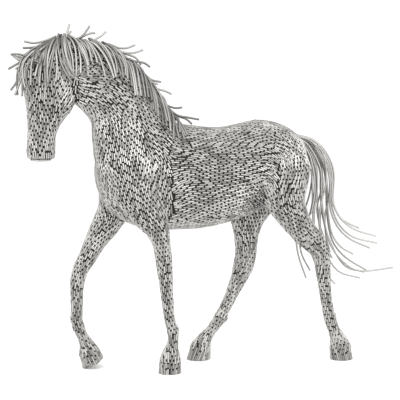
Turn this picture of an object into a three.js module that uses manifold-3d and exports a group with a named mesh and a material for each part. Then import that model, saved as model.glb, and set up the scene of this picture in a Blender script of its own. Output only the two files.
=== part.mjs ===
// A walking horse, a little under life size, welded up from short lengths of round steel pipe.
// The pipes lie side by side, nose to tail over the whole animal, and form a hollow skin that
// carries itself. Long bent pipes stand in for the forelock, the mane and the tail.
//
// Millimetres, +Z up. The head looks towards -X and the tail trails towards +X. The near (left)
// side faces -Y. The origin is on the floor, in the middle of the sculpture's bounding box.

import * as THREE from 'three';
import { mergeVertices } from 'three/addons/utils/BufferGeometryUtils.js';
import Module from 'manifold-3d';

// Driving dimensions

const WITHERS_HEIGHT = 1240;
const MANE_PIPE_DIAMETER = 11;
const TAIL_PIPE_DIAMETER = 10;
const WELD_GAP = 0.5;

// Fineness of the solids: sides of a section, lengths of a bent pipe, the slopes at which a form's
// rounded end is cut into rings, and the distance under which two points are one

const PIPE_SIDES = 5;
const TAPER_SIDES = 6;
const BALL_SIDES = 10;
const BALL_ROWS = 6;
const MANE_STEPS = 4;
const TAIL_STEPS = 8;
const END_SLOPES = [Math.PI / 6, Math.PI / 3];
const SAME_POINT = 1e-3;

// The animal's form is held as shares of its height: every table below is in per cent of it.

const PER_CENT = WITHERS_HEIGHT / 100;

// A station is [x, z, depth, width, y, swell]. The depth is measured across the centre line in
// the upright plane, and the width across the animal. The swell widens the half of the section
// that is the trunk's belly, the crest of the neck, the face, or the front of a leg. A form with
// a facing keeps its sections square to that direction. The others turn with their centre line.
// The rows are those from one station to the next, and the bulge is how far the two ends round
// out past the first and the last station.

const TRUNK = {
  facing: [1, 0, 0],
  sides: 22,
  rows: 2,
  bulge: [1.2, 2.4],
  stations: [
    [-42.2, 80.5, 16.0, 14.0, 0, 0],
    [-40.4, 80.5, 26.0, 20.4, 0, 0],
    [-36.5, 80.0, 33.5, 25.6, 0, 0.02],
    [-31.0, 79.2, 38.8, 29.0, 0, 0.02],
    [-24.2, 78.6, 42.2, 31.0, 0, 0.04],
    [-16.1, 78.3, 43.8, 32.0, 0, 0.06],
    [-8.1, 77.9, 43.0, 33.4, 0, 0.08],
    [0.0, 77.5, 42.0, 34.8, 0, 0.08],
    [8.1, 78.0, 40.2, 35.4, 0, 0.07],
    [16.1, 79.7, 39.6, 34.8, 0, 0.04],
    [24.2, 82.1, 38.2, 33.6, 0, 0.0],
    [32.3, 83.6, 33.6, 31.6, 0, -0.04],
    [38.7, 84.0, 27.6, 27.0, 0, -0.06],
    [43.4, 84.6, 19.6, 18.6, 0, -0.04],
  ],
};

const NECK = {
  sides: 20,
  rows: 2,
  bulge: [2, 2],
  stations: [
    [-22.4, 83.4, 37.0, 26.0, 0, -0.06],
    [-26.6, 90.9, 37.6, 25.6, 0, -0.12],
    [-28.9, 96.0, 33.8, 22.6, 0, -0.18],
    [-31.0, 101.5, 30.2, 19.2, 0, -0.24],
    [-33.0, 105.8, 27.8, 16.6, 0, -0.28],
    [-36.2, 110.3, 27.3, 14.6, 0, -0.3],
    [-40.9, 114.5, 26.2, 13.4, 0, -0.3],
    [-46.8, 118.7, 24.6, 12.4, 0, -0.28],
    [-52.8, 121.8, 19.5, 11.4, 0, -0.2],
  ],
};

const HEAD = {
  facing: [0, 0, -1],
  sides: 18,
  rows: 1,
  bulge: [0.6, 1.0],
  stations: [
    [-56.4, 131.0, 7.0, 5.6, 0, 0],
    [-57.6, 129.4, 14.0, 9.0, 0, 0],
    [-59.6, 126.5, 19.2, 12.2, 0, 0],
    [-60.9, 122.0, 21.4, 14.8, 0, 0.03],
    [-61.8, 117.0, 20.8, 16.0, 0, 0.05],
    [-61.8, 111.5, 19.8, 15.4, 0, 0.02],
    [-61.4, 107.0, 19.2, 14.2, 0, -0.04],
    [-61.8, 104.2, 17.7, 13.0, 0, -0.06],
    [-63.0, 101.0, 14.7, 11.4, 0, -0.04],
    [-64.0, 98.0, 12.6, 10.2, 0, 0],
    [-64.8, 94.5, 11.2, 9.4, 0, 0.02],
    [-65.0, 91.0, 11.3, 9.4, 0, 0.02],
    [-65.1, 87.8, 11.5, 9.8, 0, 0.02],
    [-65.0, 85.5, 10.2, 8.8, 0, 0],
  ],
};

const NEAR_FORELEG = {
  sides: 12,
  rows: 1,
  bulge: [4, 0],
  stations: [
    [-28.0, 92.0, 15.0, 7.0, -8.2, 0],
    [-30.0, 81.5, 21.6, 12.6, -10.2, 0],
    [-28.4, 71.4, 20.6, 13.4, -10.5, 0],
    [-24.6, 63.2, 14.6, 11.6, -10.6, 0],
    [-21.3, 57.2, 9.6, 9.2, -10.6, 0],
    [-19.8, 51.6, 7.4, 7.3, -10.5, 0],
    [-18.9, 45.5, 7.2, 6.9, -10.3, 0],
    [-18.2, 38.5, 6.2, 6.2, -10.0, 0],
    [-17.6, 33.1, 5.6, 5.8, -9.7, 0],
    [-16.7, 24.9, 5.1, 4.9, -9.3, 0],
    [-15.9, 20.6, 4.7, 4.8, -9.1, 0],
    [-14.8, 17.1, 5.1, 5.1, -9.0, 0],
    [-14.6, 13.4, 4.7, 4.8, -8.9, 0],
    [-15.0, 10.7, 5.4, 5.4, -8.8, 0],
    [-15.5, 8.2, 7.4, 7.1, -8.7, 0],
    [-15.8, 5.0, 9.2, 8.6, -8.6, 0],
    [-15.9, 0.0, 9.6, 9.0, -8.6, 0],
  ],
};

const FAR_FORELEG = {
  sides: 12,
  rows: 1,
  bulge: [4, 0],
  stations: [
    [-28.0, 92.0, 15.0, 7.0, 8.2, 0],
    [-30.2, 81.6, 20.8, 12.6, 10.2, 0],
    [-31.4, 71.6, 17.4, 13.4, 10.5, 0],
    [-33.6, 63.6, 13.8, 12.0, 10.6, 0],
    [-37.7, 57.2, 11.8, 10.2, 10.5, 0],
    [-41.4, 51.7, 9.3, 8.5, 10.4, 0],
    [-44.8, 45.2, 7.8, 7.2, 10.2, 0],
    [-47.7, 40.6, 7.0, 6.7, 10.2, 0],
    [-48.9, 36.2, 6.5, 6.4, 10.2, 0],
    [-49.3, 31.3, 5.7, 5.4, 10.2, 0],
    [-49.3, 25.2, 5.4, 5.0, 10.2, 0],
    [-49.5, 20.6, 5.5, 5.2, 10.2, 0],
    [-48.9, 17.2, 5.2, 5.2, 10.2, 0],
    [-46.9, 13.2, 4.9, 5.0, 10.2, 0],
    [-45.6, 10.6, 6.0, 6.2, 10.2, 0],
    [-44.6, 7.2, 8.9, 8.8, 10.2, 0],
    [-42.4, 1.8, 10.0, 9.6, 10.2, 0],
  ],
};

const NEAR_HINDLEG = {
  sides: 12,
  rows: 1,
  bulge: [4, 0],
  stations: [
    [33.0, 91.0, 19.0, 10.0, -8.2, 0],
    [32.8, 81.5, 25.4, 15.6, -9.4, 0],
    [32.8, 72.8, 21.6, 15.8, -9.8, 0],
    [34.6, 65.4, 16.0, 13.6, -10.0, 0],
    [38.6, 58.9, 12.6, 11.2, -10.2, 0],
    [43.2, 53.5, 11.4, 9.0, -10.2, 0],
    [47.1, 50.0, 10.5, 7.8, -10.2, 0],
    [49.6, 46.5, 9.2, 6.8, -10.2, 0],
    [50.7, 41.5, 7.7, 6.0, -10.2, 0],
    [51.4, 34.9, 6.6, 5.4, -10.2, 0],
    [52.4, 27.5, 5.7, 4.9, -10.2, 0],
    [53.7, 20.3, 5.4, 4.9, -10.2, 0],
    [54.8, 16.6, 5.9, 5.2, -10.2, 0],
    [56.5, 12.4, 5.6, 5.0, -10.2, 0],
    [58.1, 9.3, 7.4, 6.8, -10.2, 0],
    [59.4, 5.4, 9.8, 9.0, -10.2, 0],
    [60.0, 0.0, 9.8, 9.4, -10.2, 0],
  ],
};

const FAR_HINDLEG = {
  sides: 12,
  rows: 1,
  bulge: [4, 0],
  stations: [
    [32.4, 91.0, 19.0, 10.0, 8.2, 0],
    [32.0, 81.5, 25.4, 15.6, 9.4, 0],
    [30.2, 72.4, 23.4, 15.8, 9.8, 0],
    [27.0, 64.0, 18.6, 13.6, 10.0, 0],
    [24.8, 57.0, 14.4, 11.2, 10.2, 0],
    [24.8, 51.6, 11.4, 8.8, 10.2, 0],
    [24.6, 46.8, 10.4, 7.6, 10.2, 0],
    [24.4, 42.7, 10.2, 6.8, 10.2, 0],
    [23.4, 38.3, 9.9, 6.4, 10.2, 0],
    [21.0, 32.7, 7.7, 5.7, 10.2, 0],
    [17.8, 26.2, 6.0, 5.0, 10.2, 0],
    [14.5, 20.2, 5.6, 4.8, 10.2, 0],
    [12.2, 16.1, 6.1, 5.2, 10.2, 0],
    [8.9, 12.0, 4.8, 4.7, 10.2, 0],
    [6.0, 8.9, 6.4, 6.6, 10.2, 0],
    [4.0, 5.2, 9.4, 9.0, 10.2, 0],
    [3.1, 0.0, 10.4, 9.6, 10.2, 0],
  ],
};

// The small tufts behind the fetlocks, tapering from root to tip

const FETLOCK_TUFTS = [
  { y: -9.0, root: [-13.8, 17.6], tip: [-11.8, 16.8] },
  { y: 10.2, root: [-48.2, 18.0], tip: [-46.0, 17.8] },
  { y: -10.2, root: [55.4, 18.4], tip: [57.6, 19.2] },
  { y: 10.2, root: [13.4, 16.8], tip: [16.6, 15.6] },
];
const TUFT_SECTION = [[0, 4.4, 4.0], [1, 1.8, 1.6]];
const TUFT_BULGE = [0.5, 0.5];

// The near ear is turned out to the side, the far one is pricked forward.

const EARS = [
  { root: [-66.0, 121.8, -4.8], tip: [-68.6, 127.4, -9.2] },
  { root: [-67.0, 122.6, 4.6], tip: [-75.6, 126.2, 7.2] },
];
const EAR_SECTION = [[0, 4.6, 3.4], [0.35, 5.2, 3.2], [0.7, 3.6, 2.2], [1, 1.0, 0.8]];
const EAR_BULGE = [1, 0.4];

// The hollow of an eye: its middle on the side of the head, and its size

const EYE = { x: -68.4, y: 6.3, z: 119.6, size: [4.8, 2.4, 3.2] };

// The mane's pipes start along the crest, poll to withers, one to the near side and the next to
// the far side, and lie back over the neck. A place along the neck is a share of the NECK form,
// from 0 at the withers to 1 at the poll. A turn goes round the form from its crest or its front,
// and the lift is what a pipe stands off the skin by. Every few pipes one is flicked up instead,
// and the first pair stands up from the poll.

const MANE = { pairs: 12, belowPoll: 0.04, withers: 0.27, flickEvery: 4 };
const MANE_RUN = [
  { back: 0, turn: 3, lift: 0 },
  { back: 0.05, turn: 17, lift: 0.3 },
  { back: 0.11, turn: 37, lift: 0.7 },
  { back: 0.17, turn: 56, lift: 0.8 },
  { back: 0.22, turn: 70, lift: 1.3 },
];
const MANE_FLICK_RUN = [
  { back: 0, turn: 3, lift: 0 },
  { back: 0.06, turn: 9, lift: 1.2 },
  { back: 0.14, turn: 16, lift: 2.2 },
  { back: 0.21, turn: 24, lift: 3.0 },
  { back: 0.27, turn: 30, lift: 4.8 },
];
const MANE_POLL_RUN = [
  { back: 0, turn: 3, lift: 0 },
  { back: 0.03, turn: 5, lift: 1.8 },
  { back: 0.05, turn: 7, lift: 4.4 },
  { back: 0.07, turn: 8, lift: 7.4 },
  { back: 0.1, turn: 9, lift: 10.4 },
];

// The forelock's pipes start in a ring round the poll and hang over the face and the cheeks,
// clear of the ears. The down is a share of the HEAD form, from 0 at the poll to 1 at the lips.
// The spread is by how much the pipes differ in length and in lift.

const FORELOCK_SPREAD = { length: 0.24, lift: 0.4 };
const FORELOCK_TURNS = [-124, -111, -98, -86, -75, -37, -25, -13, -1, 11, 76, 90, 104];
const FORELOCK_RUN = [
  { down: 0.075, lift: 0 },
  { down: 0.17, lift: 0.7 },
  { down: 0.27, lift: 0.9 },
  { down: 0.37, lift: 1.7 },
];

// The tail's pipes leave the croup in rows, one below the other, and in columns across. A row
// arches back from its root, turns down past its bow, drops to its waist and sweeps to its tips.
// The shares are of the way from root to bow or from waist to tip. The fan is how many times the
// step the columns are apart at each point of a pipe, from root to tip.

const TAIL = {
  step: 1.1,
  fan: [1, 1.2, 1.4, 1.7, 2.15, 2.45, 3.2],
  arch: { share: 0.62, drop: 0.4, dropPerRow: 0.3 },
  turnDown: { share: 0.58, inside: 1.2 },
  waist: { share: -0.04, above: 2.6 },
  sweep: { share: 0.12, dropShare: 0.4 },
};
const TAIL_ROWS = [
  { root: [41.0, 93.4], bow: [60.0, 76.4], waist: [59.8, 65.6],
    tips: [[73.5, 54.6], [81.3, 50.8], [78.5, 45.8], [81.9, 47.9]] },
  { root: [42.0, 91.6], bow: [57.8, 73.6], waist: [57.6, 57.6],
    tips: [[70.4, 43.2], [90.0, 36.8], [76.6, 35.4], [75.0, 38.4]] },
  { root: [43.0, 89.8], bow: [55.6, 70.8], waist: [55.2, 51.0],
    tips: [[73.4, 33.0], [61.6, 31.0], [64.4, 29.6], [58.0, 32.6]] },
  { root: [44.0, 88.0], bow: [53.4, 69.2], waist: [52.0, 53.0],
    tips: [[50.4, 35.6], [51.8, 38.6], [47.8, 34.4], [53.0, 41.0]] },
  { root: [44.8, 86.2], bow: [51.0, 72.0], waist: [50.2, 66.6],
    tips: [[47.6, 62.4], [46.4, 64.8], [48.4, 58.6], [47.2, 60.6]] },
];

// How far outside a form's middle a line is started that looks for the skin
const LOOK_FROM = 30;

// The span of stations over which a form's own direction is measured
const SLOPE_SPAN = 0.5;

// Curves through the stations

function catmullRom(a, b, c, d, t) {
  const slopeIn = (c - a) / 2;
  const slopeOut = (d - b) / 2;
  const rise = c - b;
  const bend = 3 * rise - 2 * slopeIn - slopeOut;
  const twist = slopeIn + slopeOut - 2 * rise;
  return b + t * (slopeIn + t * (bend + t * twist));
}

function stationAt({ stations }, share) {
  const place = THREE.MathUtils.clamp(share, 0, 1) * (stations.length - 1);
  const i = Math.min(Math.floor(place), stations.length - 2);
  const row = (k) => stations[THREE.MathUtils.clamp(k, 0, stations.length - 1)];
  return stations[i].map((_, column) =>
    catmullRom(row(i - 1)[column], row(i)[column], row(i + 1)[column], row(i + 2)[column], place - i));
}

function centreAt(form, share) {
  const [x, z, , , y] = stationAt(form, share);
  return new THREE.Vector3(x, y, z).multiplyScalar(PER_CENT);
}

// A form's own directions at a share of its length
function axesAt(form, share) {
  const step = SLOPE_SPAN / 2 / (form.stations.length - 1);
  const onward = form.facing
    ? new THREE.Vector3(...form.facing)
    : centreAt(form, share + step).sub(centreAt(form, share - step)).normalize();
  const across = new THREE.Vector3(0, 1, 0).cross(onward).normalize();
  const sideways = new THREE.Vector3().crossVectors(onward, across);
  return { onward, across, sideways };
}

// A point of a form's skin, or lifted off it. The turn goes round from across to sideways.
function skinPoint(form, share, turn, lift = 0, shrink = 1, push = 0) {
  const [, , depth, width, , swell] = stationAt(form, share);
  const { onward, across, sideways } = axesAt(form, share);
  const angle = THREE.MathUtils.degToRad(turn);
  const u = (depth * PER_CENT / 2 * shrink + lift) * Math.cos(angle);
  const v = (width * PER_CENT / 2 * shrink * (1 + swell * Math.cos(angle)) + lift) * Math.sin(angle);
  return centreAt(form, share)
    .addScaledVector(across, u)
    .addScaledVector(sideways, v)
    .addScaledVector(onward, push);
}

// Solids

const wasm = await Module();
wasm.setup();

function solidOf(geometry) {
  const bare = geometry.clone();
  bare.deleteAttribute('normal');
  bare.deleteAttribute('uv');
  const merged = mergeVertices(bare, SAME_POINT);
  const vertProperties = new Float32Array(merged.attributes.position.array);
  const triVerts = new Uint32Array(merged.index.array);
  return new wasm.Manifold(new wasm.Mesh({ numProp: 3, vertProperties, triVerts }));
}

function joined(solids) {
  return solids.reduce((whole, solid) => whole.add(solid));
}

function geometryOf(solid) {
  const { vertProperties, triVerts } = solid.getMesh();
  const geometry = new THREE.BufferGeometry();
  geometry.setAttribute('position', new THREE.BufferAttribute(new Float32Array(vertProperties), 3));
  geometry.setIndex(new THREE.BufferAttribute(new Uint32Array(triVerts), 1));
  geometry.computeVertexNormals();
  return geometry;
}

// Lays rings of points end to end, and closes each end with a fan to one last point.
function closedTube(rings, first, last) {
  const sides = rings[0].length;
  const points = [first, ...rings.flat(), last];
  const index = [];
  for (let i = 0; i < sides; i++) {
    const j = (i + 1) % sides;
    index.push(0, 1 + j, 1 + i);
    for (let r = 0; r + 1 < rings.length; r++) {
      const here = 1 + r * sides;
      const next = here + sides;
      index.push(here + i, here + j, next + j, here + i, next + j, next + i);
    }
    const end = 1 + (rings.length - 1) * sides;
    index.push(points.length - 1, end + i, end + j);
  }
  const geometry = new THREE.BufferGeometry().setFromPoints(points);
  geometry.setIndex(index);
  return geometry;
}

// A form's solid, with rounded ends, grown all round by an allowance
function loft(form, allowance) {
  const { stations, sides, bulge } = form;
  const rows = (stations.length - 1) * form.rows;
  const turns = Array.from({ length: sides }, (_, i) => i / sides * 360);
  const ringAt = (share, shrink = 1, push = 0) =>
    turns.map((turn) => skinPoint(form, share, turn, allowance, shrink, push));
  const [start, end] = bulge.map((length) => length * PER_CENT + allowance);
  const rings = [];
  for (const slope of END_SLOPES.toReversed()) {
    rings.push(ringAt(0, Math.cos(slope), -start * Math.sin(slope)));
  }
  for (let i = 0; i <= rows; i++) rings.push(ringAt(i / rows));
  for (const slope of bulge[1] > 0 ? END_SLOPES : []) {
    rings.push(ringAt(1, Math.cos(slope), end * Math.sin(slope)));
  }
  const first = centreAt(form, 0).addScaledVector(axesAt(form, 0).onward, -start);
  const last = centreAt(form, 1).addScaledVector(axesAt(form, 1).onward, end);
  return solidOf(closedTube(rings, first, last));
}

// A tuft or an ear: a straight taper from root to tip, [x, z, y] each, by a table of sections
function taper(root, tip, section, bulge, allowance) {
  const stations = section.map(([share, depth, width]) => {
    const [x, z, y] = root.map((from, k) => THREE.MathUtils.lerp(from, tip[k], share));
    return [x, z, depth, width, y, 0];
  });
  return loft({ stations, bulge, sides: TAPER_SIDES, rows: 1 }, allowance);
}

function eyeHollow(side) {
  const ball = new THREE.SphereGeometry(PER_CENT / 2, BALL_SIDES, BALL_ROWS);
  ball.scale(...EYE.size);
  ball.translate(EYE.x * PER_CENT, side * EYE.y * PER_CENT, EYE.z * PER_CENT);
  return solidOf(ball);
}

// Everything below the floor, where the soles are cut off flat
function underFloor() {
  const size = 4 * WITHERS_HEIGHT;
  const block = new THREE.BoxGeometry(size, size, size);
  block.translate(0, 0, -size / 2);
  return solidOf(block);
}

const FORMS = [TRUNK, NECK, HEAD, NEAR_FORELEG, FAR_FORELEG, NEAR_HINDLEG, FAR_HINDLEG];

function horseBody(allowance = 0) {
  return joined([
    ...FORMS.map((form) => loft(form, allowance)),
    ...FETLOCK_TUFTS.map(({ root, tip, y }) =>
      taper([...root, y], [...tip, y], TUFT_SECTION, TUFT_BULGE, allowance)),
    ...EARS.map(({ root, tip }) => taper(root, tip, EAR_SECTION, EAR_BULGE, allowance)),
  ])
    .subtract(eyeHollow(-1))
    .subtract(eyeHollow(1))
    .subtract(underFloor());
}

// The body without its ears and tufts, which the mane and the forelock are laid on
const bareBody = new THREE.Mesh(geometryOf(joined(FORMS.map((form) => loft(form, 0)))));

// A bent pipe through a few points, with flat ends
function pipe(points, diameter, steps) {
  const section = new THREE.Shape(Array.from({ length: PIPE_SIDES }, (_, i) => {
    const angle = i / PIPE_SIDES * 2 * Math.PI;
    return new THREE.Vector2(diameter / 2 * Math.cos(angle), diameter / 2 * Math.sin(angle));
  }));
  const extrudePath = new THREE.CatmullRomCurve3(points, false, 'centripetal');
  return solidOf(new THREE.ExtrudeGeometry(section, { steps, bevelEnabled: false, extrudePath }));
}

// An even but unrepeating variation between -1 and 1, for pipes that a welder laid by eye
function byEye(i, pace) {
  return Math.sin(1 + i * pace);
}

// A point lifted off the animal's real outer skin, over a share and a turn of one of its forms
function offBody(form, share, turn, lift) {
  const outside = skinPoint(form, share, turn, LOOK_FROM * PER_CENT);
  const inward = centreAt(form, share).sub(outside).normalize();
  const [hit] = new THREE.Raycaster(outside, inward).intersectObject(bareBody);
  return hit.point.addScaledVector(inward, -lift);
}

function maneRun(side, i) {
  if (i === 0) return MANE_POLL_RUN;
  return i % MANE.flickEvery === (side > 0 ? 1 : 2) ? MANE_FLICK_RUN : MANE_RUN;
}

function manePipe(side, i) {
  const order = i + (side > 0 ? 0.5 : 0);
  const share = THREE.MathUtils.lerp(1 - MANE.belowPoll, MANE.withers, order / MANE.pairs);
  const run = maneRun(side, i);
  const points = run.map(({ back, turn, lift }) =>
    offBody(NECK, share - back, side * turn, MANE_PIPE_DIAMETER / 2 + WELD_GAP + lift * PER_CENT));
  return pipe(points, MANE_PIPE_DIAMETER, MANE_STEPS);
}

function forelockPipe(turn, i) {
  const length = 1 + FORELOCK_SPREAD.length * byEye(i, 2.2);
  const out = 1 + FORELOCK_SPREAD.lift * byEye(i, 1.3);
  const points = FORELOCK_RUN.map(({ down, lift }) =>
    offBody(HEAD, down * length, turn, MANE_PIPE_DIAMETER / 2 + WELD_GAP + lift * out * PER_CENT));
  return pipe(points, MANE_PIPE_DIAMETER, MANE_STEPS);
}

function tailPipe({ root, bow, waist, tips }, row, column) {
  const { lerp } = THREE.MathUtils;
  const across = (column - (tips.length - 1) / 2) * TAIL.step;
  const tip = tips[column];
  const path = [
    root,
    [lerp(root[0], bow[0], TAIL.arch.share), root[1] - TAIL.arch.drop - TAIL.arch.dropPerRow * row],
    [bow[0] - TAIL.turnDown.inside, lerp(root[1], bow[1], TAIL.turnDown.share)],
    bow,
    [lerp(waist[0], tip[0], TAIL.waist.share), waist[1] + TAIL.waist.above],
    [lerp(waist[0], tip[0], TAIL.sweep.share), lerp(waist[1], tip[1], TAIL.sweep.dropShare)],
    tip,
  ];
  const points = path.map(([x, z], i) => new THREE.Vector3(x, across * TAIL.fan[i], z));
  return pipe(points.map((point) => point.multiplyScalar(PER_CENT)), TAIL_PIPE_DIAMETER, TAIL_STEPS);
}

// The sculpture

const STEEL = { color: 0xc9c6c0, roughness: 0.32, metalness: 0.9 };

function part(name, solid) {
  const mesh = new THREE.Mesh(geometryOf(solid), new THREE.MeshStandardMaterial(STEEL));
  mesh.name = name;
  return mesh;
}

const horse = new THREE.Group();
horse.add(part('horse_body', horseBody()));

const clearOfBody = horseBody(WELD_GAP);
for (let i = 0; i < MANE.pairs; i++) {
  horse.add(part(`mane_pipe_near_${i + 1}`, manePipe(-1, i).subtract(clearOfBody)));
  horse.add(part(`mane_pipe_far_${i + 1}`, manePipe(1, i).subtract(clearOfBody)));
}
FORELOCK_TURNS.forEach((turn, i) => {
  horse.add(part(`forelock_pipe_${i + 1}`, forelockPipe(turn, i).subtract(clearOfBody)));
});
TAIL_ROWS.forEach((tailRow, row) => {
  tailRow.tips.forEach((_, column) => {
    const name = `tail_pipe_row_${row + 1}_${column + 1}`;
    horse.add(part(name, tailPipe(tailRow, row, column).subtract(clearOfBody)));
  });
});

const middle = new THREE.Box3().setFromObject(horse).getCenter(new THREE.Vector3());
horse.position.set(-middle.x, -middle.y, 0);

export default horse;
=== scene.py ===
# %% [markdown]
# # A walking horse welded up from steel pipe
# The sculpture is a hollow skin of short, straight lengths of thin pipe. They lie side by side in
# rows that follow the animal's muscles, and long bent pipes make its mane, forelock and tail.
# The frame is the plain solid of the same horse, so the script starts from that.

# %% Load the frame
import math
import random
from bisect import bisect_right

import bmesh
import bpy
import numpy as np
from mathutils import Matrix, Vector
from mathutils.bvhtree import BVHTree
from mathutils.kdtree import KDTree


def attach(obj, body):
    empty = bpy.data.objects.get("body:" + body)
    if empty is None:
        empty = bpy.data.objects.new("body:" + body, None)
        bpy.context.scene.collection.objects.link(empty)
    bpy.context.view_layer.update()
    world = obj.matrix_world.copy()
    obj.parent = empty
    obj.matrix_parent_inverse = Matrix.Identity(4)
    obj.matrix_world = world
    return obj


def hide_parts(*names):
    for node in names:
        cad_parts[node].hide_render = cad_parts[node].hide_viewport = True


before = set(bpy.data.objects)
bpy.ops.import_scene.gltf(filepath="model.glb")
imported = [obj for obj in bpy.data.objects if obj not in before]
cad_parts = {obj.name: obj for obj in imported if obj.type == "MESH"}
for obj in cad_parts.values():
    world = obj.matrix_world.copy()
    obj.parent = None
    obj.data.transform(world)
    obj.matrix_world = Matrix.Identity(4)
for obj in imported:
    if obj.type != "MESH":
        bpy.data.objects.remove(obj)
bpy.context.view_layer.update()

# %% [markdown]
# ## Sizes
# A welder sees only a few numbers: the pipe's own section, how far apart the rows lie, how long a
# length is cut and how much is left open between two lengths. Everything else follows the form.

# %% Sizes of the pipe and of its rows, in metres
PIPE = 0.0091
WALL = 0.0014
ROW_SPACING = 0.0097
PITCH = 0.044
GAP = 0.0105
LEG_PITCH = 0.052
LEG_GAP = 0.0065
SHORTEST = 0.011
SKIN_SIDES = 8

HAIR_PIPE = 0.0105
TAIL_PIPE = 0.0098
HAIR_SIDES = 10

random.seed(11)
print("rows", ROW_SPACING, "pitch", PITCH)

# %% [markdown]
# ## The surface that the pipes lie on
# The frame's solid has flat facets and hard creases where its lofts meet. A voxel remesh gives the
# same form as even quads, and a few rounds of smoothing melt the creases, as the real skin has
# none. The soles keep their crisp rims. The pipes' centre lines lie a little more than half a pipe
# below the outer form, so the surface is sunk by that much.

# %% Remesh, smooth and sink a copy of the body
VOXEL = 0.0075
SMOOTH_ROUNDS = 6
MERGE_DISTANCE = 1e-5
SOLE_RIM = 0.035
LAY_MARGIN = 0.0008
LAY_DEPTH = PIPE / 2 + LAY_MARGIN


def linked(name, data):
    """A new object in the scene."""
    made = bpy.data.objects.new(name, data)
    bpy.context.scene.collection.objects.link(made)
    return made


def evaluated_mesh(worker):
    """An object's mesh, with its modifiers applied."""
    evaluated = worker.evaluated_get(bpy.context.evaluated_depsgraph_get())
    return bpy.data.meshes.new_from_object(evaluated)


def melt(mesh, chosen, rounds):
    """Smooths the points of a mesh that a rule chooses, a few times over."""
    edit = bmesh.new()
    edit.from_mesh(mesh)
    verts = [v for v in edit.verts if chosen(v.co)]
    every_way = {"use_axis_x": True, "use_axis_y": True, "use_axis_z": True}
    for _ in range(rounds):
        bmesh.ops.smooth_vert(edit, verts=verts, factor=0.5, **every_way)
    edit.to_mesh(mesh)
    edit.free()


def smooth_body():
    """The body's form as an even, smooth mesh."""
    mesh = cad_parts["horse_body"].data.copy()
    edit = bmesh.new()
    edit.from_mesh(mesh)
    bmesh.ops.remove_doubles(edit, verts=edit.verts, dist=MERGE_DISTANCE)
    edit.to_mesh(mesh)
    edit.free()
    worker = linked("body_worker", mesh)
    remesh = worker.modifiers.new("remesh", "REMESH")
    remesh.mode = "VOXEL"
    remesh.voxel_size = VOXEL
    result = evaluated_mesh(worker)
    bpy.data.objects.remove(worker)
    melt(result, lambda place: place.z > SOLE_RIM, SMOOTH_ROUNDS)
    return result


def triples(items, name):
    """Three numbers for each item, such as the place of every vertex."""
    values = np.empty(len(items) * 3)
    items.foreach_get(name, values)
    return values.reshape(-1, 3)


def sunk(mesh, depth):
    """A copy of a closed mesh with its surface moved inwards."""
    copy = mesh.copy()
    moved = triples(mesh.vertices, "co") - triples(mesh.vertex_normals, "vector") * depth
    copy.vertices.foreach_set("co", moved.ravel())
    copy.update()
    return copy


def tree_of(mesh):
    places = triples(mesh.vertices, "co").tolist()
    return BVHTree.FromPolygons(places, [tuple(p.vertices) for p in mesh.polygons])


eared = smooth_body()
eared_tree = tree_of(eared)
print("surface", len(eared.vertices), "vertices")

# %% [markdown]
# The ears are bundles of thin pipes of their own, so the skin passes underneath them. Smoothing
# only the ears' own points, many times over, pulls each ear back into the skull.

# %% Take the ears off the surface
EARS = {
    "near": (Vector((-0.906, -0.060, 1.510)), Vector((-0.938, -0.114, 1.580))),
    "far": (Vector((-0.919, 0.057, 1.520)), Vector((-1.025, 0.089, 1.565))),
}
EAR_REACH = 0.05
EAR_SPAN = (-0.1, 1.4)
EAR_FLOOR = 1.4
EAR_ROUNDS = 160


def on_ear(place):
    for root, tip in EARS.values():
        along = (place - root).dot(tip - root) / (tip - root).length_squared
        aside = (place - root.lerp(tip, along)).length
        if place.z > EAR_FLOOR and EAR_SPAN[0] < along < EAR_SPAN[1] and aside < EAR_REACH:
            return True
    return False


outer = eared.copy()
melt(outer, on_ear, EAR_ROUNDS)
lay = sunk(outer, LAY_DEPTH)
outer_tree, lay_tree = tree_of(outer), tree_of(lay)
print("ears off", EAR_ROUNDS, "rounds")

# %% [markdown]
# ## Where the camera stands
# The hair's pipes, the brows and the eyes are read off the photograph one by one, so the camera
# comes first. A point of the picture is cast from the camera onto the skin, and there the pipe
# runs. A pipe that stands off is placed on an upright plane along the horse.

# %% Camera
PICTURE = 400
CAMERA_PLACE = Vector((-1.798, -4.698, 1.2))
CAMERA_TURN = math.radians(20)
CAMERA_PITCH = math.radians(4.05)
SENSOR = 36
LENS = 89.1
camera_data = bpy.data.cameras.new("camera")
camera_data.sensor_width = SENSOR
camera_data.lens = LENS
camera = linked("camera", camera_data)
camera.location = CAMERA_PLACE
camera.rotation_euler = (math.radians(90) - CAMERA_PITCH, 0, -CAMERA_TURN)
bpy.context.scene.camera = camera
print("camera at", tuple(round(c, 2) for c in camera.location))


def sight(u, v):
    """The direction from the camera through a point of the picture."""
    reach = camera_data.sensor_width / camera_data.lens / PICTURE
    ray = Vector(((u - PICTURE / 2) * reach, (PICTURE / 2 - v) * reach, -1))
    ray.rotate(camera.rotation_euler)
    return ray.normalized()


def in_plane(u, v, y):
    """The place on an upright plane along the horse that the picture shows at (u, v)."""
    ray = sight(u, v)
    return CAMERA_PLACE + ray * ((y - CAMERA_PLACE.y) / ray.y)


def on_skin(u, v):
    """The place on the skin that the picture shows at (u, v), or the nearest one beside it."""
    place = outer_tree.ray_cast(CAMERA_PLACE, sight(u, v))[0]
    return place or outer_tree.find_nearest(in_plane(u, v, 0))[0]


# %% [markdown]
# ## The grain
# The rows flow like hair: down the face, in a fan from the throat, down the neck and the shoulder
# into the foreleg, level along the barrel and down round the haunch into the hind leg. A few
# named guide lines say so.

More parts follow.
